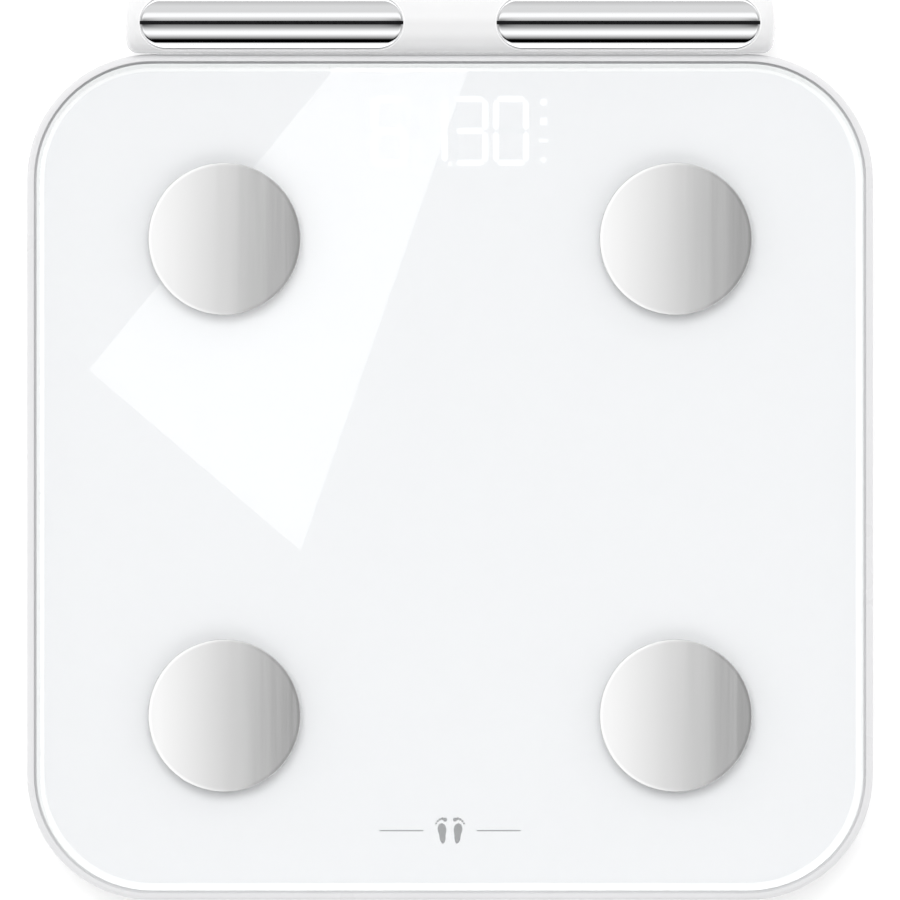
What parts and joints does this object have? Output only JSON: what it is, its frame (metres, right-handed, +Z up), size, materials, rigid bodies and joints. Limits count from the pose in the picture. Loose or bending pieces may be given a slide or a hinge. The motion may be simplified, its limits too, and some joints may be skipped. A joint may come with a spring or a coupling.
{
  "type": "digital bathroom scale",
  "caption": "Square glass body-composition scale on load-cell feet, with steel foot electrodes, a hidden digital display and a docked hand grip on a retracting cord.",
  "frame": {"origin": "on the floor, at the middle of the overall outline seen from above", "axes": "+Z up, +Y to the rear, towards the docked grip, +X to the right of a person who faces the grip"},
  "size_m": [0.3, 0.3218, 0.0353],
  "materials": {
    "clear_glass": "clear tempered glass with ground edges",
    "white_print": "white printed film behind the glass",
    "white_foam": "foam adhesive tape",
    "white_abs": "white moulded ABS with a fine satin texture",
    "white_abs_base": "white moulded ABS with a spark-eroded texture",
    "brushed_steel": "circular-brushed stainless steel",
    "grip_chrome": "bright chrome plate",
    "grip_white": "white moulded ABS, softly glossy",
    "black_insulator": "black moulded plastic",
    "pad_rubber": "light grey rubber",
    "cord_pvc": "white soft PVC",
    "light_guide": "cast translucent resin",
    "display_white": "white reflective moulding",
    "circuit_green": "green solder mask over glass epoxy",
    "chip_black": "black epoxy packages",
    "led_yellow": "phosphor-coated chips",
    "zinc_screw": "zinc-plated steel",
    "cell_steel": "zinc-plated steel plate",
    "contact_nickel": "nickel-plated spring steel",
    "cell_jacket": "plain shrink-wrapped cells",
    "copper": "phosphor bronze and tin",
    "axle_steel": "ground steel",
    "spring_steel": "blued spring strip",
    "white_acetal": "white acetal",
    "magnet": "nickel-plated magnet",
    "keeper_steel": "mild steel strip",
    "wire_blue": "insulated stranded leads"
  },
  "bodies": {
    "base": {"glass_plate": "clear_glass", "backing_film": "white_print", "glass_gasket": "white_foam", "foot_electrode_front_left": "brushed_steel", "foot_electrode_front_right": "brushed_steel", "foot_electrode_rear_left": "brushed_steel", "foot_electrode_rear_right": "brushed_steel", "electrode_nuts": "copper", "display_housing": "display_white", "display_segments": "light_guide", "display_board": "circuit_green", "display_leds": "led_yellow", "upper_frame": "white_abs", "bottom_cover": "white_abs_base", "case_screws": "zinc_screw", "main_board": "circuit_green", "board_components": "chip_black", "battery_cells": "cell_jacket", "battery_contacts": "contact_nickel", "battery_springs": "contact_nickel", "load_cell_front_left": "cell_steel", "load_cell_front_right": "cell_steel", "load_cell_rear_left": "cell_steel", "load_cell_rear_right": "cell_steel", "foot_carrier_front_left": "white_abs_base", "foot_carrier_front_right": "white_abs_base", "foot_carrier_rear_left": "white_abs_base", "foot_carrier_rear_right": "white_abs_base", "foot_pad_front_left": "pad_rubber", "foot_pad_front_right": "pad_rubber", "foot_pad_rear_left": "pad_rubber", "foot_pad_rear_right": "pad_rubber", "foot_screws": "zinc_screw", "reel_cover": "white_abs_base", "reel_axle": "axle_steel", "slip_ring_brushes": "copper", "cord_guide": "white_acetal", "cord_lead": "cord_pvc", "dock_cradle": "white_abs_base", "dock_magnets": "magnet", "wiring": "wire_blue"},
    "handle": {"handle_upper_shell": "grip_white", "handle_lower_shell": "grip_white", "grip_plate_left_front": "grip_chrome", "grip_plate_left_rear": "grip_chrome", "grip_plate_right_front": "grip_chrome", "grip_plate_right_rear": "grip_chrome", "grip_insulators": "black_insulator", "handle_screws": "zinc_screw", "handle_board": "circuit_green", "handle_wires": "wire_blue", "handle_keepers": "keeper_steel", "cord_boot": "cord_pvc", "cord_stub": "cord_pvc"},
    "reel": {"reel_spool": "white_acetal", "cord_winding": "cord_pvc", "reel_spring": "spring_steel", "slip_ring_board": "circuit_green"},
    "unit_button": {"unit_button": "white_abs_base"},
    "battery_door": {"battery_door": "white_abs_base"}
  },
  "joints": [
    {"name": "handle_lift", "type": "slide", "parent": "base", "child": "handle", "axis": [0, 0, 1], "range_m": [0, 0.9]},
    {"name": "reel_spin", "type": "hinge", "parent": "base", "child": "reel", "pos_m": [-0.026, 0.00915, 0], "axis": [0, 0, 1], "continuous": true},
    {"name": "unit_button_press", "type": "slide", "parent": "base", "child": "unit_button", "axis": [0, 0, 1], "range_m": [0, 0.0005], "stiffness_N_per_m": 400, "springref_m": -0.002},
    {"name": "battery_door_hinge", "type": "hinge", "parent": "base", "child": "battery_door", "pos_m": [0.07, -0.03815, 0.0054], "axis": [-1, 0, 0], "range_deg": [0, 90]}
  ],
  "couplings": [
    {"joint": "reel_spin", "follows": "handle_lift", "rad_per_m": 44.8}
  ]
}
